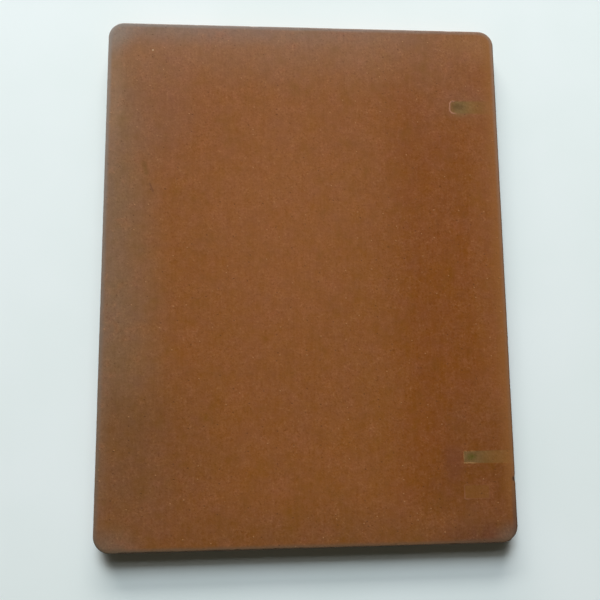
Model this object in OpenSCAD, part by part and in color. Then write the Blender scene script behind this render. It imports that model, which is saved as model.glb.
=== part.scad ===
// Weathering steel plate, cut to a handy size, with rounded corners and eased edges.
// It lies flat. Z = 0 is the face it rests on, X runs across it and Y along it,
// and the origin is under its middle.

/* [Plate] */
// Width of the plate, along X
plate_w = 200; // [100:5:400]
// Length of the plate, along Y
plate_l = 260; // [130:5:600]
// Thickness of the plate, a rolled gauge
plate_t = 8; // [4:1:20]

/* [Corners] */
// Radius of the four corners, seen from above
corner_r = 8; // [3:0.5:40]

/* [Eased edges] */
// Radius that the sharp edge round the upper face is eased to
upper_arris_r = 0.4; // [0.2:0.1:1.5]
// Radius that the sharp edge round the lower face is eased to
lower_arris_r = 0.4; // [0.2:0.1:1.5]

/* [Hidden] */

// The corners turn about the corners of an inner rectangle of this size
core_w = plate_w - 2 * corner_r;
core_l = plate_l - 2 * corner_r;

// How far a cutting shape runs past the face that it cuts
overrun = 1;

// Turn of one corner, in degrees
quarter = 90;

// Colour of the settled rust
rust = "#86522e";

$fn = 96;

// What easing takes off a sharp edge: a square less the quarter round left behind
module arris_waste(r) {
    difference() {
        square(r + overrun);
        circle(r);
    }
}

// Section through the rim, from the line that a corner turns about out to the cut edge
module rim_section() {
    difference() {
        square([corner_r, plate_t]);
        translate([corner_r - upper_arris_r, plate_t - upper_arris_r])
            arris_waste(upper_arris_r);
        translate([corner_r - lower_arris_r, lower_arris_r])
            mirror([0, 1])
                arris_waste(lower_arris_r);
    }
}

// Rim along one straight side, with its cut edge facing +X
module straight_rim(side_l) {
    rotate([90, 0, 0])
        linear_extrude(side_l, center = true)
            rim_section();
}

// Rim round one corner: the same section turned a quarter of the way about, from +X to +Y
module corner_rim() {
    rotate_extrude(angle = quarter)
        rim_section();
}

// The whole plate: a flat core with the rim carried round it in one unbroken run
module plate() {
    color(rust)
        union() {
            translate([-core_w / 2, -core_l / 2, 0])
                cube([core_w, core_l, plate_t]);
            for (turn = [0, 2 * quarter])
                rotate(turn)
                    translate([core_w / 2, 0, 0])
                        straight_rim(core_l);
            for (turn = [quarter, 3 * quarter])
                rotate(turn)
                    translate([core_l / 2, 0, 0])
                        straight_rim(core_w);
            for (side = [-1, 1], end = [-1, 1])
                translate([side * core_w / 2, end * core_l / 2, 0])
                    rotate(atan2(end, side) - quarter / 2)
                        corner_rim();
        }
}

plate();
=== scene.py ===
# %% [markdown]
# # A weathering steel plate, cell by cell
# The object is one flat plate of weathering steel, modelled as 200 by 260 mm, cut from 8 mm stock. The
# thickness is a weak estimate. Its rust has settled into an even brown skin. The CAD model gives the size
# and outline. This lesson puts a worked skin over that solid: the faint relief of rolled and rusted
# steel, edges that handling has rubbed, the lines that cutting left on the walls, and the sharp-edged
# stains on the face.

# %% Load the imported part
import math

import bpy
import numpy as np
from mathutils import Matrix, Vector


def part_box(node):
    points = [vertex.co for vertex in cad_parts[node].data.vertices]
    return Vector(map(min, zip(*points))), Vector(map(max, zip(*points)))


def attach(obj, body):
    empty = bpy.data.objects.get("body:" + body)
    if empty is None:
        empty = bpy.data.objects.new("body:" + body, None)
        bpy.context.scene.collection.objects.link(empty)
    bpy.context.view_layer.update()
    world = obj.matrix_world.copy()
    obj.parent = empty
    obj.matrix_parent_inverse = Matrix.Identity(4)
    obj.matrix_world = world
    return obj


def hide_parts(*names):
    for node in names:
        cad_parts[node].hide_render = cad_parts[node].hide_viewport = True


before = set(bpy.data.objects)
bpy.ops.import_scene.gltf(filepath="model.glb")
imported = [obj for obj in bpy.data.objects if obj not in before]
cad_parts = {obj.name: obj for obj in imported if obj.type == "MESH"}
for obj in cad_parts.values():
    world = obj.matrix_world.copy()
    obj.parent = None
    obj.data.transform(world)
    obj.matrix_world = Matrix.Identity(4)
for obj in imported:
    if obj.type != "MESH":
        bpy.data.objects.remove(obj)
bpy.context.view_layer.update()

plate_low, plate_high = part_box("plate")

# %% [markdown]
# ## Sizes
# The plate's sizes come from the CAD box, except the two radii below, which repeat the part's own. The
# skin is worked out in millimetres, because that is how a plate is measured, and turned into metres
# only when its mesh is made.

# %% Sizes of the plate, in millimetres
MM = 0.001
half_w = (plate_high.x - plate_low.x) / 2 / MM
half_l = (plate_high.y - plate_low.y) / 2 / MM
thickness = (plate_high.z - plate_low.z) / MM
corner_r = 8.0
arris_r = 0.4
print(f"plate {2 * half_w:.1f} x {2 * half_l:.1f} x {thickness:.1f} mm")

# %% [markdown]
# ## Camera
# The camera looks almost straight down from a little over a quarter of a metre above the table. Its place
# and turns were matched to the four sides of the upper face, which fixes the slight convergence: the
# plate grows wider towards the viewer. The frame is square, so a lens of 33 mm on a 36 mm sensor sees
# the same width and height.

# %% Camera at the photograph's place
camera_place = (-18.95 * MM, -43.55 * MM, 275.9 * MM)
camera_turns = (6.500, -3.256, -0.173)
lens, sensor = 33.0, 36.0

camera_data = bpy.data.cameras.new("camera")
camera_data.lens = lens
camera_data.sensor_width = sensor
camera_data.clip_start = 0.01
camera = bpy.data.objects.new("camera", camera_data)
camera.location = camera_place
camera.rotation_mode = "ZYX"
camera.rotation_euler = [math.radians(a) for a in camera_turns]
bpy.context.scene.collection.objects.link(camera)
bpy.context.scene.camera = camera
print(f"camera {camera.location.z / MM:.0f} mm above the table")

# %% [markdown]
# ## Chance that comes out the same each time
# Rust and wear are uneven. Both need chance values that change smoothly from point to point and are the
# same on every run. A noise texture would do in a material, but a mesh needs numbers in Python, so a
# lattice of values drawn from a fixed seed is blended at each point.

# %% Smooth chance values
def lattice_noise(places, cell, seed):
    """Values between -1 and 1 that change smoothly over about one cell.

    Every corner of a lattice of cubes, one cell wide, has a value drawn from the seed. A point blends
    the eight corners of its cube with weights t²(3 - 2t), where t is how far across the cube it lies.
    """
    table = np.random.default_rng(seed).uniform(-1, 1, (64, 64, 16))
    low = np.floor(places / cell).astype(int)
    t = places / cell - low
    t = t * t * (3 - 2 * t)
    blended = np.zeros(places.shape[:-1])
    for corner in np.ndindex(2, 2, 2):
        weight = np.prod(np.where(corner, t, 1 - t), axis=-1)
        i, j, k = np.moveaxis((low + corner) % table.shape, -1, 0)
        blended += weight * table[i, j, k]
    return blended


trial = lattice_noise(np.linspace([0, 0, 0], [8, 5, 3], 5), cell=4.0, seed=1)
print("chance at five places on a line:", trial.round(2))

# %% [markdown]
# ## The flat faces
# A plate could be a bevelled cube, but a cube's face is one polygon and can't carry relief. So each face
# is a grid of points. Its corners have to be round, and cutting them off would leave slivers, so the
# square cells there are squeezed into the quarter circle instead, and every row stays whole.

# %% Grids with round corners
def side_lines(half, border, step):
    """Places of the grid lines from one side to the other, about one step apart.

    The core between the corner squares is cut into equal cells, and so is each corner square, which
    runs from half - corner_r to half - border.
    """
    core = half - corner_r
    corner = np.linspace(core, half - border, round(corner_r / step) + 1)[1:]
    middle = np.linspace(-core, core, round(2 * core / step) + 1)
    return np.concatenate([-corner[::-1], middle, corner])


def face_grid(border, step, height):
    """A face as rows of points that stop border mm inside the plate's outline.

    In a corner square p and q run from 0 at its inner sides to 1 at its outer ones. Its points move to
    p √(1 - q²/2) and q √(1 - p²/2), which bends the two outer sides into one quarter circle.
    """
    x, y = np.meshgrid(side_lines(half_w, border, step), side_lines(half_l, border, step))
    reach = corner_r - border
    p = np.clip((np.abs(x) - (half_w - corner_r)) / reach, 0, 1)
    q = np.clip((np.abs(y) - (half_l - corner_r)) / reach, 0, 1)
    x = x - np.sign(x) * reach * p * (1 - np.sqrt(1 - q * q / 2))
    y = y - np.sign(y) * reach * q * (1 - np.sqrt(1 - p * p / 2))
    return np.stack([x, y, np.full_like(x, height)], axis=-1)


def border_of(grid):
    """What lies round a grid's border, anticlockwise from its front left corner, each point once."""
    return np.concatenate([grid[0, :-1], grid[:-1, -1], grid[-1, :0:-1], grid[:0:-1, 0]])


upper_step, rim_step, under_step = 1.0, 0.5, 4.0
band = 0.5
upper = face_grid(arris_r + band, upper_step, thickness)
under = face_grid(arris_r + under_step / 2, under_step, 0.0)
print("upper face", upper.shape[:2], "points, underside", under.shape[:2], "points")

# %% [markdown]
# ## The rim
# Round the faces runs the rim: an eased upper edge, which a fabricator calls an arris, then the wall
# that the cut left, then the lower arris. It is one profile carried round the outline, and its columns
# are finer than the face's, because nicks in an edge are small and show against the light.

# %% Rim profile carried round the outline
def rim_profile(arris_steps, wall_steps):
    """The rim's section from the upper face to the lower: how far out, how high, and which way it faces.

    The facing turns by a from straight up to straight down. A point stands arris_r sin a outside the
    flat and arris_r cos a above the height of its turning centre, which comes down along the wall.
    """
    quarter = np.linspace(0, np.pi / 2, arris_steps + 1)
    turn = np.concatenate([quarter, np.full(wall_steps - 1, np.pi / 2), quarter + np.pi / 2])
    wall = np.linspace(thickness - arris_r, arris_r, wall_steps + 1)
    centre = np.concatenate([np.full(arris_steps, wall[0]), wall, np.full(arris_steps, wall[-1])])
    return arris_r * np.sin(turn), centre + arris_r * np.cos(turn), turn


outline = border_of(face_grid(arris_r, rim_step, 0.0))[:, :2]
core_corner = np.array([half_w - corner_r, half_l - corner_r])
outward = (outline - np.clip(outline, -core_corner, core_corner)) / (corner_r - arris_r)
out, height, turn = rim_profile(arris_steps=4, wall_steps=9)
rim = np.concatenate([
    outline + out[:, None, None] * outward,
    np.broadcast_to(height[:, None, None], (len(height), len(outline), 1)),
], axis=-1)
facing = np.concatenate([
    np.sin(turn)[:, None, None] * outward,
    np.broadcast_to(np.cos(turn)[:, None, None], (len(turn), len(outline), 1)),
], axis=-1)
way_round = np.linalg.norm(outline - np.roll(outline, 1, axis=0), axis=1).sum()
print("rim", rim.shape[:2], f"points, {way_round:.0f} mm round the plate")

# %% [markdown]
# ## Relief and wear
# Rust on a weathering steel grows as a dense crust, so the face is nearly flat: waves of a few
# hundredths of a millimetre from rolling, and a fine crust on top. The edges have suffered more. Handling
# rubs the arris unevenly, knocks leave nicks in it, and the cutting flame left drag lines on the wall
# that lean back towards the foot. All of it is taken off the CAD size, never added to it, so the skin
# stays inside the CAD box.

# %% Depth of the crust
def crust_depth(places):
    """Depth in mm that rolling and rust take off.

    It is 0.010 (1 + n) for waves of 22 mm, 0.006 (1 + n) for clouds of 6 mm and 0.003 (1 + n) for grains
    of 2.5 mm, with n the lattice noise of that size.
    """
    sizes = ((22.0, 0.010, 11), (6.0, 0.006, 12), (2.5, 0.003, 13))
    return sum(depth * (1 + lattice_noise(places, cell, seed)) for cell, depth, seed in sizes)


upper[..., 2] -= crust_depth(upper)
taken_off = thickness - upper[..., 2]
print(f"the crust takes {taken_off.min():.3f} to {taken_off.max():.3f} mm off the upper face")

# %% Wear of the rim
def bump(distance, width):
    """A bell of height 1 that is about one width across on each side: exp(-(distance / width)²)."""
    return np.exp(-(distance / width) ** 2)


def rim_wear(rim, turn):
    """Depth in mm that wear takes off each point of the rim, along the way that it faces.

    Rubbing and nicks act on the two arrises, by sin² 2a, which peaks half way round each of them. The
    drag lines act on the wall between them, and their place along the outline grows with the square of
    the depth below the upper face, so they lean back.
    """
    along = np.concatenate([[0], np.cumsum(np.linalg.norm(np.diff(outline, axis=0), axis=1))])
    s = np.broadcast_to(along, rim.shape[:2])
    below = (thickness - rim[..., 2]) / thickness
    arris = np.sin(2 * turn[:, None]) ** 2
    wall = np.sin(turn[:, None]) ** 8

    def along_noise(cell, seed, lean=0.0):
        return lattice_noise(np.stack([s + lean * below ** 2, 3 * below, 0 * s], axis=-1), cell, seed)

    rubbed = 0.03 * (1 + along_noise(9.0, 21)) + 0.015 * (1 + along_noise(2.0, 22))
    nicks = 0.5 * np.clip(along_noise(1.6, 23) - 0.62, 0, None)
    drag = 0.03 * (1 + along_noise(0.9, 24, lean=2.5)) + 0.03 * (1 + along_noise(3.1, 25, lean=2.5))
    ragged_from, ragged_to = -89.0, -4.5
    x, y = rim[..., 0], rim[..., 1]
    front = (y < -half_l + arris_r) & (x > ragged_from) & (x < ragged_to) & (below < 0.5)
    ragged = 0.12 * np.clip(0.6 + along_noise(1.3, 26), 0, None) * front
    knock_y, knock_depth, knock_width = -100.0, 0.55, 1.3
    knock = knock_depth * bump(y - knock_y, knock_width) * (x > 0) * (below < 0.5)
    return arris * (rubbed + nicks + ragged) + wall * drag + np.sin(turn[:, None]) * knock * (1 - below)


worn = rim - facing * (crust_depth(rim) + rim_wear(rim, turn))[..., None]
worn[-1, :, 2] = 0.0
print("deepest wear on the rim", round(float(np.linalg.norm(worn - rim, axis=-1).max()), 2), "mm")

# %% [markdown]
# ## One closed skin
# The three parts are joined by numbering their points in one list. Where a coarse border meets the finer
# rim, one polygon spans a coarse cell and takes in all the fine points along it, so nothing is left
# open. A smooth skin needs no modifier: its normals come from the many small faces.

# %% Faces between the points
def grid_faces(numbers):
    """Quads between the rows and columns of a grid of point numbers, anticlockwise seen from above."""
    corners = [numbers[:-1, :-1], numbers[:-1, 1:], numbers[1:, 1:], numbers[1:, :-1]]
    return np.stack(corners, axis=-1).reshape(-1, 4)


def joining_faces(coarse, fine):
    """Polygons from a coarse ring out to a finer ring round it, anticlockwise seen from above.

    With k fine points for each coarse one, polygon i has coarse i, then fine ki to ki + k, then
    coarse i + 1.
    """
    k = len(fine) // len(coarse)
    columns = [np.roll(fine, -j)[::k] for j in range(k + 1)]
    return np.stack([coarse, *columns, np.roll(coarse, -1)], axis=-1)


def numbered(points, first):
    """Numbers for an array of points, in its own rows and columns, counting from first."""
    return first + np.arange(points[..., 0].size).reshape(points.shape[:-1])


upper_numbers = numbered(upper, 0)
rim_numbers = numbered(worn, upper_numbers.size)
under_numbers = numbered(under, upper_numbers.size + rim_numbers.size)
round_rim = np.concatenate([rim_numbers, rim_numbers[:, :1]], axis=1)
skin_points = np.concatenate([part.reshape(-1, 3) for part in (upper, worn, under)])
skin_faces = [
    grid_faces(upper_numbers),
    joining_faces(border_of(upper_numbers), rim_numbers[0]),
    grid_faces(round_rim[::-1]),
    joining_faces(border_of(under_numbers), rim_numbers[-1])[:, ::-1],
    grid_faces(under_numbers[:, ::-1]),
]
print("faces in the five parts of the skin:", [len(block) for block in skin_faces])

# %% Mesh from the arrays
def mesh_object(name, points, faces, smooth=True):
    """An object at the origin from points in millimetres and a list of arrays of faces."""
    mesh = bpy.data.meshes.new(name)
    mesh.from_pydata((points * MM).tolist(), [], [row for block in faces for row in block.tolist()])
    mesh.polygons.foreach_set("use_smooth", np.full(len(mesh.polygons), smooth))
    mesh.update()
    made = bpy.data.objects.new(name, mesh)
    bpy.context.scene.collection.objects.link(made)
    return made


skin = mesh_object("plate_skin", skin_points, skin_faces)
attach(skin, "root")
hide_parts("plate")
triangles = sum(len(block) * (block.shape[1] - 2) for block in skin_faces)
print("skin:", len(skin_points), "points,", triangles, "triangles")

# %% [markdown]
# ## Writing a finish as arithmetic
# A finish is a graph of nodes, and a graph of fifty nodes is hard to read in code. So a number that
# changes over the surface is kept here as a Python value that can be added and multiplied, and each
# operation puts its own Math node into the graph. Colours are written as hex codes, as on a paint card.

# %% Fields, the numbers that a finish is made of
class Field:
    """What a node gives at each point of the surface. Arithmetic on a field adds Math nodes."""

    def __init__(self, socket):
        self.socket = socket
        self.tree = socket.id_data

    def math(self, operation, *others):
        """This field put through one Math node, with up to two more fields or numbers."""
        node = add_node(self.tree, "ShaderNodeMath", dict(enumerate([self, *others])), operation=operation)
        return Field(node.outputs[0])

    def __add__(self, other):
        return self.math("ADD", other)

    def __sub__(self, other):
        return self.math("SUBTRACT", other)

    def __mul__(self, other):
        return self.math("MULTIPLY", other)

    def __neg__(self):
        return self.math("MULTIPLY", -1.0)


def add_node(tree, kind, sockets, **settings):
    """A node with its settings made, and its sockets linked to fields or set to plain values."""
    node = tree.nodes.new(kind)
    for setting, value in settings.items():
        setattr(node, setting, value)
    for socket, value in sockets.items():
        fill(node.inputs[socket], value)
    return node


def fill(socket, value):
    """Link a field to a socket, or give the socket a plain value of its own."""
    if isinstance(value, Field):
        value.tree.links.new(value.socket, socket)
    else:
        socket.default_value = value


# %% Chance, steps and coats of colour
def cloud(place, size, seed, detail=2.0, stretch=(1.0, 1.0, 1.0)):
    """Smooth chance from -1 to 1, in clouds about size mm across, times stretch along each axis."""
    tree = place.tree
    spread = [1 / (size * s) for s in stretch]
    scaled = add_node(tree, "ShaderNodeMapping", {"Vector": place, "Scale": spread})
    sockets = {"Vector": Field(scaled.outputs[0]), "W": seed, "Scale": 1.0, "Detail": detail}
    noise = add_node(tree, "ShaderNodeTexNoise", sockets, noise_dimensions="4D")
    return Field(noise.outputs[0]).math("MULTIPLY_ADD", 2.0, -1.0)


def ramp(value, low, high):
    """0 at low and 1 at high, by t²(3 - 2t) between them. Where low is the larger, it runs down."""
    sockets = {"Value": value, "From Min": low, "From Max": high}
    step = add_node(value.tree, "ShaderNodeMapRange", sockets, interpolation_type="SMOOTHSTEP")
    return Field(step.outputs[0])


def paint(code):
    """A hex code as linear colour: c / 12.92 up to 0.04045 and ((c + 0.055) / 1.055)^2.4 above it."""
    c = np.array([int(code[i:i + 2], 16) for i in (1, 3, 5)]) / 255
    linear = np.where(c <= 0.04045, c / 12.92, ((c + 0.055) / 1.055) ** 2.4)
    return (*linear.tolist(), 1.0)


def coat(under, over, cover):
    """The colour under, with the colour over laid on it as thickly as the field cover says, 0 to 1."""
    sockets = {0: cover, 6: under, 7: over}
    mix = add_node(cover.tree, "ShaderNodeMix", sockets, data_type="RGBA", clamp_factor=True)
    return Field(mix.outputs[2])


def tipped(colour, over, amount):
    """The colour plus over times amount: paler where the amount is positive, deeper where it isn't."""
    sockets = {0: over[:3], "Scale": amount}
    scaled = add_node(colour.tree, "ShaderNodeVectorMath", sockets, operation="SCALE")
    sockets = {0: colour, 1: Field(scaled.outputs[0])}
    return Field(add_node(colour.tree, "ShaderNodeVectorMath", sockets, operation="ADD").outputs[0])


# %% The rust's own graph, with places in millimetres
rust = bpy.data.materials.new("settled_rust")
rust.use_nodes = True


def in_millimetres(tree):
    """The place on the object, from Object coordinates, which are in metres, times 1000."""
    metres = Field(add_node(tree, "ShaderNodeTexCoord", {}).outputs["Object"])
    scaled = add_node(tree, "ShaderNodeMapping", {"Vector": metres, "Scale": [1 / MM] * 3})
    return Field(scaled.outputs[0])


place = in_millimetres(rust.node_tree)
x, y, z = [Field(part) for part in add_node(rust.node_tree, "ShaderNodeSeparateXYZ", {0: place}).outputs]
print("a finish starts with", len(rust.node_tree.nodes), "nodes")

# %% [markdown]
# ## Broad tones of the rust
# The rust isn't one brown. Water dried last along the left side and left an olive grey there. The back
# is paler and greyer, partly in its rust and partly as painted sheen, the lamps beyond the far side
# glancing off it, and the front left quarter is duller, partly as painted shade. The middle is the
# warmest, a deeper red brown runs down the right, and the front right corner has weathered darkest. A
# painted texture could show this, but a picture is fixed to one size. Instead each tone is a coat whose
# border is a formula, and a cloud pushes the border to and fro.

# %% Tones laid over each other
wander = cloud(place, 30.0, seed=1.0)
stray = cloud(place, 9.0, seed=2.0)


def spot(across, along, reach_x, reach_y):
    """1 in the middle of an oval, falling to 0 at its border."""
    u = (x - across) * (1 / reach_x)
    v = (y - along) * (1 / reach_y)
    span = (u * u + v * v).math("SQRT") + wander * 0.15
    return ramp(span, 1.0, 0.2)


def strip(value, low, high):
    """A ramp whose border strays by a few millimetres."""
    return ramp(value + wander * 5.0 + stray * 2.0, low, high)


broad_tones = [
    ("warm middle", "#86532c", spot(-12.0, 22.0, 55.0, 85.0)),
    ("olive grey down the left side", "#7a5d43", strip(-(x + y * 0.05), 62.0, 98.0)),
    # Partly painted shade: the front left quarter is duller, away from the lamps.
    ("dull front left quarter", "#724928", spot(-100.0, -90.0, 80.0, 70.0) * 0.8),
    ("deep strip down the right", "#7b471e", strip(x, 30.0, 60.0) * strip(x, 94.0, 80.0)),
    ("softer brown round the back stain", "#7c4c2a", spot(74.0, 100.0, 30.0, 40.0)),
    ("golden right side", "#7e4b26", strip(x, 82.0, 99.0)),
    ("dust round the back stain", "#7e5338", spot(86.0, 89.0, 22.0, 13.0) * 0.5),
    ("duller brown behind the front stain", "#744829", spot(82.0, -72.0, 27.0, 26.0) * 0.4),
    # Partly painted sheen: the paler, greyer back and back edge stand for the lamps glancing off the rust.
    ("dust and painted sheen at the back", "#855d40", strip(y, 86.0, 130.0) * ramp(x, 125.0, 20.0)),
    ("grey along the back edge", "#7f6758", ramp(y + stray, 116.0, 130.0) * ramp(x, 110.0, -110.0)),
    ("dark front right quarter", "#724420", spot(92.0, -112.0, 50.0, 60.0)),
    ("front", "#774b28", strip(-y, 100.0, 130.0)),
    ("purple brown by the front edge", "#674029", spot(84.0, -131.0, 34.0, 16.0)),
    ("front right corner", "#6a5240", spot(99.0, -129.0, 14.0, 11.0)),
    ("grey left edge", "#7c604a", ramp(-x, 92.0, 100.0) * ramp(y, -170.0, -20.0)),
    ("pale left edge towards the back", "#8b6a4e", spot(-98.0, 92.0, 9.0, 45.0) * 0.7),
    # Partly painted sheen near the back left, where the lamps glance off the rust.
    ("purplish haze near the back left", "#7a5848", spot(-72.0, 84.0, 22.0, 42.0) * 0.25),
    ("front left corner", "#6f5541", spot(-98.0, -130.0, 26.0, 16.0)),
    # Partly painted sheen at the back left corner.
    ("back left corner", "#837366", spot(-101.0, 127.0, 18.0, 20.0)),
    ("back right corner", "#875b36", spot(98.0, 128.0, 40.0, 24.0)),
]
tone = paint("#825028")
for where, code, cover in broad_tones:
    tone = coat(tone, paint(code), cover)
print(len(broad_tones), "broad tones, from the", broad_tones[0][0], "to the", broad_tones[-1][0])

# %% [markdown]
# ## Grain, mottling and streaks
# Close to, the skin is as fine as suede. There are grains of well under a millimetre, soft blotches a
# few millimetres wide that lean to red or to olive, and the faintest streaks along the plate, where the
# wetting that grew the rust may have run down it. The contrast is low: a few parts in a hundred at each
# size. Most of the skin is smooth and only here and there a grain stands out, so the grains' chance is
# made peaked, and they crowd together in some places and thin out in others. The hue wanders as well,
# between a dusty and a golden brown, and between a ruddy and an olive one. Between the grains run short
# curling marks, pale or dark, as a crust gets when it cracks in drying.

# %% Grain
def peaked(chance):
    """Chance times its own size: middling values sink towards 0 and only the highs and lows stand out."""
    return chance * chance.math("ABSOLUTE")


fine_grain = cloud(place, 0.45, seed=3.0, detail=1.0)
grain = cloud(place, 1.1, seed=4.0)
blotch = cloud(place, 3.6, seed=5.0)
patch = cloud(place, 11.0, seed=6.0)
streak = cloud(place, 1.3, seed=7.0, stretch=(1.0, 9.0, 1.0))

tone = coat(tone, paint("#8b4c2b"), ramp(blotch * 0.6 + patch, 0.0, 0.9) * 0.25)
tone = coat(tone, paint("#755527"), ramp(blotch * 0.6 + patch, 0.0, -0.9) * 0.25)
bloom = paint("#cba07e")
crowding = ramp(blotch + patch, -0.7, 0.7) + 0.35
crust = fine_grain * 0.018 + grain * 0.038 + peaked(fine_grain) * 0.10 + peaked(grain) * 0.13
unevenness = crust * crowding + blotch * 0.044 + patch * 0.028 + streak * 0.030
dusty = cloud(place, 5.0, seed=16.0) * 0.062 + cloud(place, 13.0, seed=17.0) * 0.058
ruddy = cloud(place, 6.0, seed=18.0) * 0.065 + cloud(place, 15.0, seed=19.0) * 0.07
tone = tipped(tone, paint("#202060"), dusty)
tone = tipped(tone, paint("#601c10"), ruddy)
tone = tipped(tone, bloom, unevenness)
print("with its grain the rust has", len(rust.node_tree.nodes), "nodes")

# %% Fine curling marks
def threads(size, thin, seed):
    """1 where a cloud of that size passes through 0, which is along curling lines, and 0 beyond thin."""
    return ramp(cloud(place, size, seed=seed, detail=1.0).math("ABSOLUTE"), thin, 0.0)


pale_threads = threads(1.8, thin=0.08, seed=8.0) * ramp(grain, 0.05, 0.4) * crowding
dark_threads = threads(1.8, thin=0.08, seed=9.0) * ramp(grain, 0.0, -0.3) * crowding
tone = coat(tone, paint("#ab7f50"), pale_threads * 0.2)
tone = coat(tone, paint("#5a3518"), dark_threads * 0.3)
print("with its fine marks it has", len(rust.node_tree.nodes), "nodes")

# %% [markdown]
# ## Stains where strips lay
# Near the right side are two stains with sharp outlines and a third that is almost gone. Probably
# something flat lay there while the rust grew: under it the steel would stay damp and turn olive, and a
# thin pale ridge of rust would grow along its end. Towards the side of the plate the stain dries out into
# a golden brown. Each one is a rectangle written as a distance: negative inside, positive outside, and 0
# on the outline.

# %% Stains
def stain(left, right, front, back, corner, flare=0.0):
    """Signed distance in mm to a rectangle with round corners, which widens by flare mm for each mm
    along X.

    With u and v how far a point is past the inner rectangle, the distance is √(max(u, 0)² +
    max(v, 0)²) + min(max(u, v), 0) - corner.
    """
    uneven = grain * 0.25
    half_height = (x - left) * flare + (back - front) / 2
    u = (x - (left + right) / 2 + uneven).math("ABSOLUTE") - ((right - left) / 2 - corner)
    v = (y - (front + back) / 2 + uneven).math("ABSOLUTE") - half_height + corner
    past_u = u.math("MAXIMUM", 0.0)
    past_v = v.math("MAXIMUM", 0.0)
    outside = (past_u * past_u + past_v * past_v).math("SQRT")
    return outside + u.math("MAXIMUM", v).math("MINIMUM", 0.0) - corner


back_stain = stain(75.3, 110.0, 84.3, 90.9, corner=2.0, flare=0.02)
front_stain = stain(75.0, 110.0, -92.5, -87.0, corner=0.4, flare=0.02)
faint_stain = stain(74.7, 87.0, -109.3, -102.7, corner=0.6)

# %% Colours inside the stains
back_tone = coat(paint("#735832"), paint("#7b5628"), ramp(x + stray * 2.0, 81.0, 91.0))
back_tone = coat(back_tone, paint("#7c5431"), ramp(x, 79.0, 76.5) * 0.6)
back_tone = coat(back_tone, paint("#614825"), spot(79.8, 87.9, 5.0, 2.8))
front_tone = coat(paint("#6f5432"), paint("#79532a"), ramp(x + stray * 2.0, 80.0, 92.0))
front_tone = coat(front_tone, paint("#5c4e24"), spot(78.5, -89.7, 3.9, 2.7))
back_damp = ramp(back_stain, 0.6, -0.9) * ramp(x, 104.0, 82.0)
front_damp = ramp(front_stain, 0.25, -0.35) * ramp(x, 125.0, 84.0)

tone = coat(tone, paint("#693c28"), spot(70.0, -91.0, 8.0, 12.0) * 0.5)
tone = coat(tone, paint("#755a34"), spot(80.5, 84.6, 6.5, 3.6) * 0.5)
tone = coat(tone, tipped(back_tone, bloom, unevenness), back_damp)
tone = coat(tone, tipped(front_tone, bloom, unevenness), front_damp)
tone = coat(tone, paint("#7d5426"), ramp(faint_stain, 0.3, -0.8) * 0.4)
damp = back_damp.math("MAXIMUM", front_damp)
print("with its stains the rust has", len(rust.node_tree.nodes), "nodes")

# %% Ridge of rust round the ends of the stains
def line(distance, width):
    """1 on an outline, falling to 0 at width mm on both sides of it."""
    return ramp(distance.math("ABSOLUTE"), width, 0.0)


broken = ramp(grain + blotch, -0.5, 0.2)
back_ridge = line(back_stain, 0.6) * ramp(x, 79.5, 76.5)
front_ridge = line(front_stain, 0.55) * ramp(x, 83.0, 77.5) * ramp(x, 74.2, 75.6) * broken
faint_ridge = line(faint_stain, 0.55) * (ramp(x, 78.0, 75.0) * 0.6 + 0.4)
faint_ridge = faint_ridge * (ramp(y, -103.0, -108.0) * 0.5 + 0.5)
ridge = back_ridge + front_ridge + faint_ridge * 0.5
tone = coat(tone, paint("#a87a62"), back_ridge * 0.75)
tone = coat(tone, paint("#a17a4c"), front_ridge * 0.7)
tone = coat(tone, paint("#9a6c54"), faint_ridge * 0.35)
print("with the ridges it has", len(rust.node_tree.nodes), "nodes")

# %% [markdown]
# ## A scrape, pits and blisters
# One short scrape marks the left side. It looks as if something slid there, pressed a soft olive smear
# into the rust, then skipped and left a thin score. The skin has pits and a few pale blisters, where the
# rust has lifted. A scratch is the distance to a line. Pits and blisters come from a cell pattern, which
# scatters one point in each square, and a chance value for each cell keeps only some of them.

# %% Scrape, pits and blisters
def scratch(start, end, width):
    """1 along the line from start to end, falling to 0 at width mm from it."""
    run = math.dist(start, end)
    ux, uy = (end[0] - start[0]) / run, (end[1] - start[1]) / run
    along = (x - start[0]) * ux + (y - start[1]) * uy
    across = (x - start[0]) * uy - (y - start[1]) * ux
    past = ((along - run / 2).math("ABSOLUTE") - run / 2).math("MAXIMUM", 0.0)
    return ramp((across * across + past * past).math("SQRT"), width, 0.0)


def flecks(cell, reach, share, seed):
    """Round spots of radius reach mm. A square of cell mm has one point, and a share of them is kept."""
    tree = place.tree
    sockets = {"Vector": place, "Scale": [1 / cell] * 3, "Location": [seed, 0.37 * seed, 0.0]}
    sockets = {"Vector": Field(add_node(tree, "ShaderNodeMapping", sockets).outputs[0]), "Scale": 1.0}
    cells = add_node(tree, "ShaderNodeTexVoronoi", sockets, voronoi_dimensions="2D")
    chances = add_node(tree, "ShaderNodeSeparateColor", {0: Field(cells.outputs["Color"])})
    kept = ramp(Field(chances.outputs[0]), 1 - share, 1 - 0.5 * share)
    return ramp(Field(cells.outputs["Distance"]) * cell, reach, 0.1 * reach) * kept


smear = scratch((-80.7, 55.8), (-79.3, 50.6), 2.2)
scored = scratch((-77.6, 45.2), (-76.0, 41.3), 0.8)
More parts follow.
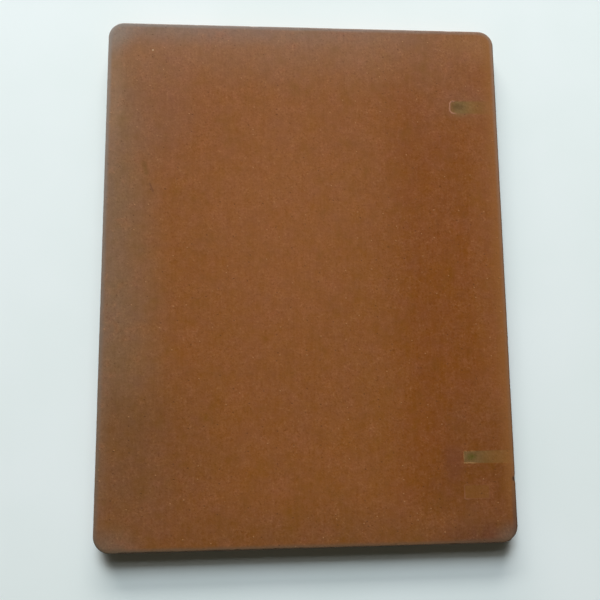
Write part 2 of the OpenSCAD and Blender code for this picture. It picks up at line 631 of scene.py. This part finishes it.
# A pale dot near the back left is a painted glint: the highlight on a small bump in the crust that faces
# the lamps.
painted_glint = spot(-77.5, 115.5, 0.6, 0.6)
pits = flecks(7.0, 0.55, 0.35, seed=11.0)
pores = flecks(2.3, 0.4, 0.5, seed=12.0)
blisters = flecks(6.5, 0.5, 0.16, seed=13.0)
tone = coat(tone, paint("#6b4a22"), smear * 0.6)
tone = coat(tone, paint("#5a3626"), scored * 0.5)
tone = coat(tone, paint("#4a2f1e"), pits * 0.5 + pores * 0.15)
tone = coat(tone, paint("#ac8058"), blisters * 0.6)
tone = coat(tone, paint("#e2cba6"), painted_glint * 0.5)
print("with scrape, pits and blisters it has", len(rust.node_tree.nodes), "nodes")

# %% [markdown]
# ## Rubbed edges, cut walls and the underside
# Hands and other plates rub the arris, so the rust there wears thin and grey. Its tone is partly painted
# light too: a paler grey at the back and on the left is painted highlight, where the arris faces the
# lamps, and a dark tone at the front is painted shade, where it faces away, as is a darker band by the
# front right corner. The right side keeps a golden border a few millimetres wide, which darkens towards
# the front, with a thin line of painted shade at the very edge, where the arris turns from the lamps,
# and a dark spot in its knock.
# The cut walls rusted in runs that follow the water down, and the underside, which never dries evenly,
# is blotched. The distance that drew the stains also gives the distance from the plate's outline, and
# the height tells the faces from the walls.

# %% Worn edges
rim_distance = stain(-half_w, half_w, -half_l, half_l, corner=corner_r)
rubbed_edge = ramp(rim_distance + stray * 0.4, -2.8, -0.3)
tone = coat(tone, paint("#8a5c30"), ramp(x, 91.0, 99.5) * ramp(y, -126.0, -100.0) * 0.65)
# The edge's tone is partly painted light: paler grey towards the back and the left, painted highlight
# where the arris faces the lamps, and dark at the front, painted shade where it faces away.
grey_wear_and_highlight = ramp(y * 0.6 - x, -120.0, 120.0)
shaded_front_edge = ramp(-y, 122.0, 129.0)
rubbed_edge_with_painted_light = coat(paint("#6b5f52"), paint("#86807a"), ramp(y, -130.0, 140.0))
rubbed_edge_with_painted_light = coat(rubbed_edge_with_painted_light, paint("#5a4b3b"), shaded_front_edge)
tone = coat(tone, rubbed_edge_with_painted_light, rubbed_edge * (grey_wear_and_highlight * 0.45 + shaded_front_edge * 0.45 + 0.3))
dark_border = ramp(x + stray * 0.4, 96.6, 98.8) * ramp(y, -93.0, -122.0)
tone = coat(tone, paint("#4e3a30"), dark_border * 0.55)
# Partly painted shade: a darker band along the front edge by the right corner, where the arris faces away
# from the lamps.
tone = coat(tone, paint("#4e3b2d"), spot(88.0, -131.0, 26.0, 5.0) * 0.5)
# A thin line of painted shade at the right edge, where the arris turns away from the lamps.
tone = coat(tone, paint("#2a1d15"), ramp(x, 99.2, 99.8) * 0.6)
tone = coat(tone, paint("#33251c"), spot(99.2, -100.2, 1.3, 1.7) * 0.85)

# %% Walls and underside
wall_cover = ramp(z, thickness - 0.15, thickness - arris_r)
run_down = cloud(place, 1.6, seed=14.0, stretch=(1.0, 1.0, 5.0))
wide_run = cloud(place, 7.0, seed=15.0, stretch=(1.0, 1.0, 2.5))
wall_tone = coat(paint("#6f4324"), paint("#3f2a1e"), ramp(run_down + wide_run, 0.0, 1.0) * 0.7)
wall_tone = coat(wall_tone, paint("#94592a"), ramp(run_down + wide_run, -0.1, -1.0) * 0.8)
# The walls are also darker over the 3 mm nearest the table.
wall_tone = coat(wall_tone, paint("#4a3325"), ramp(z, 3.0, 0.0) * 0.5)
tone = coat(tone, tipped(wall_tone, bloom, unevenness), wall_cover)

under_cover = ramp(z, arris_r, 0.1)
under_tone = coat(paint("#6d431f"), paint("#4c3221"), ramp(wander + patch, 0.0, 0.9) * 0.7)
under_tone = coat(under_tone, paint("#8a5a2c"), ramp(wander + patch, -0.1, -0.9) * 0.6)
tone = coat(tone, tipped(under_tone, bloom, unevenness), under_cover)
print("with edges, walls and underside it has", len(rust.node_tree.nodes), "nodes")

# %% [markdown]
# ## Sheen and relief
# Settled rust is dry and open, so it hardly shines: most of what a mirror would send back is lost in the
# crust. Its roughness still changes a little, less on the stains and on the rubbed edge. The finest
# relief is too small for a mesh, so a Bump node tilts the light instead. Its height is in millimetres,
# because its distance is set to one millimetre.

# %% Roughness and bump
roughness = grain * 0.06 + patch * 0.06 + 0.7
roughness = roughness - damp * 0.1 - rubbed_edge * 0.1 + pits * 0.1
relief = fine_grain * 0.010 + grain * 0.022 + streak * 0.010 + blotch * 0.020
relief = relief + pale_threads * 0.008 - dark_threads * 0.010 - pits * 0.05 - pores * 0.02
relief = relief + blisters * 0.06 - scored * 0.04 - smear * 0.02 + ridge * 0.05 - damp * 0.02
relief = relief + run_down * wall_cover * 0.03
bumped = add_node(rust.node_tree, "ShaderNodeBump", {"Height": relief, "Distance": MM, "Strength": 1.0})

rust_surface = rust.node_tree.nodes["Principled BSDF"]
fill(rust_surface.inputs["Base Color"], tone)
fill(rust_surface.inputs["Roughness"], roughness)
fill(rust_surface.inputs["Normal"], Field(bumped.outputs[0]))
rust_surface.inputs["Specular IOR Level"].default_value = 0.1
skin.data.materials.append(rust)
print("settled rust:", len(rust.node_tree.nodes), "nodes")

# %% [markdown]
# ## The table top
# The plate lies on a pale, smooth, slightly blue board. A floor plane from the Add menu would do, and
# this one is the same four corners written as an array. It is very wide, so that its edge stays out of
# a low view. Its finish is a matt paint, wiped on: two almost equal whites in wide smears. It has no shine
# at all, because a low view towards the lamps would turn even a dull sheen into glare.

# %% Floor
def pale_floor():
    """A flat square table top, wide enough that its edge stays out of every view."""
    reach = 4000.0
    corners = reach * np.array([[-1, -1, 0], [1, -1, 0], [1, 1, 0], [-1, 1, 0]], float)
    return mesh_object("floor", corners, [np.array([[0, 1, 2, 3]])], smooth=False)


floor = pale_floor()
table_paint = bpy.data.materials.new("pale_table")
table_paint.use_nodes = True
table = table_paint.node_tree
table_place = in_millimetres(table)
wipe = cloud(table_place, 60.0, seed=21.0)
film = cloud(table_place, 4.0, seed=22.0)
table_tone = coat(paint("#e3efef"), paint("#e6f1f2"), ramp(wipe, -0.4, 0.4))
sheet = table.nodes["Principled BSDF"]
fill(sheet.inputs["Base Color"], table_tone)
fill(sheet.inputs["Roughness"], wipe * 0.03 + film * 0.03 + 0.8)
sheet.inputs["Specular IOR Level"].default_value = 0.0
print("table top:", len(table.nodes), "nodes")

# %% [markdown]
# ## The table fades into the backdrop
# Seen from low down, a lit table runs to a hard horizon and burns out to white near the lamps. A
# photographer sweeps a paper roll up behind the object. Here the table turns, from a quarter of a metre
# out, into a surface that simply has the backdrop's colour. That happens only for a ray from the camera
# or from a mirror, so the light that the table throws on the plate stays true.

# %% Table that fades
backdrop = paint("#e8f1f0")


def seen_past(tree):
    """1 for a ray from the camera, or one that a mirror or glass sends on, and 0 for the light's own."""
    rays = add_node(tree, "ShaderNodeLightPath", {}).outputs
    seen = Field(rays["Is Camera Ray"]) + Field(rays["Is Glossy Ray"]) + Field(rays["Is Transmission Ray"])
    return seen.math("MINIMUM", 1.0)


def either(tree, chance, one, other):
    """One shader where chance is 0 and the other where it is 1."""
    shaders = {0: chance, 1: Field(one.outputs[0]), 2: Field(other.outputs[0])}
    return Field(add_node(tree, "ShaderNodeMixShader", shaders).outputs[0])


fade_from, fade_to = 240.0, 480.0
span = add_node(table, "ShaderNodeVectorMath", {0: table_place}, operation="LENGTH")
far = ramp(Field(span.outputs["Value"]), fade_from, fade_to) * seen_past(table)
glow = add_node(table, "ShaderNodeEmission", {"Color": backdrop, "Strength": 1.0})
fill(table.nodes["Material Output"].inputs["Surface"], either(table, far, sheet, glow))
floor.data.materials.append(table_paint)
print("the table fades from", fade_from, "to", fade_to, "mm from its middle")

# %% [markdown]
# ## Lamps
# The light comes as from a window beyond the plate's far side: a deep shadow lies in front of the plate,
# and almost none beside it. One small lamp would give that shadow a hard end, so the window is built from
# strips, one above the other. A tall lamp stands for the blue sky in it. A flat one lower down is the
# white of the skyline, and the lowest, just above the sill, is the warmer ground outside. Each is cut off
# by the plate's edge at its own distance, so the shadow fades in steps and its end is cool. A fourth, high
# and faint, stands for the ceiling by the window: it reaches in under the edge and softens the shadow's
# deepest part. Together they are about white, and their power makes the table come out as it is painted.
# Their heights, sizes and tints were fitted to that shadow for a plate 8 mm thick. A thicker plate would
# need higher lamps, so the shadow's length says nothing about the thickness.

# %% Four soft lamps
lamp_distance, lamp_bearing = 3.4, -6.0


def soft_lamp(name, colour, power, wide, tall, elevation):
    """A rectangular lamp that faces the plate, at the distance and bearing that all the lamps share.

    Its direction is (sin a cos e, cos a cos e, sin e), where a is the bearing from +Y, which is behind
    the plate, and e the elevation.
    """
    lamp = bpy.data.lights.new(name, "AREA")
    lamp.shape = "RECTANGLE"
    lamp.size, lamp.size_y, lamp.energy = wide, tall, power
    lamp.color = colour
    made = bpy.data.objects.new(name, lamp)
    a, e = math.radians(lamp_bearing), math.radians(elevation)
    away = (math.sin(a) * math.cos(e), math.cos(a) * math.cos(e), math.sin(e))
    made.location = [lamp_distance * c for c in away]
    made.rotation_euler = (math.radians(90 - elevation), 0, math.radians(180 - lamp_bearing))
    made.visible_camera = False
    bpy.context.scene.collection.objects.link(made)
    return made


sky, cloud_white, ground = (0.89, 0.95, 1.0), (1.0, 0.98, 0.95), (1.0, 0.79, 0.70)
soft_lamp("window", sky, power=96, wide=1.6, tall=1.0, elevation=36)
soft_lamp("skyline", cloud_white, power=103, wide=3.0, tall=0.46, elevation=21)
soft_lamp("sill", ground, power=88, wide=3.0, tall=0.5, elevation=10)
soft_lamp("ceiling", cloud_white, power=14, wide=4.0, tall=0.5, elevation=50)
print("lamps:", [(light.name, light.energy) for light in bpy.data.lights])

# %% [markdown]
# ## Room light and backdrop
# What light the walls of a room throw back is faint and warm here, and it is all that reaches the deepest
# shadow. A world gives it from every side. To the camera the same world shows the backdrop instead, so
# the background is pale without any more light on the plate.

# %% Room
world = bpy.data.worlds.new("room")
world.use_nodes = True
room = world.node_tree
glimmer = room.nodes["Background"]
room_tint, room_strength = (1.0, 0.9, 0.66, 1.0), 0.045
glimmer.inputs["Color"].default_value = room_tint
glimmer.inputs["Strength"].default_value = room_strength
paler = add_node(room, "ShaderNodeBackground", {"Color": backdrop, "Strength": 1.0})
fill(room.nodes["World Output"].inputs["Surface"], either(room, seen_past(room), glimmer, paler))
bpy.context.scene.world = world
bpy.context.scene.view_settings.view_transform = "Standard"
print("room light at strength", room_strength)
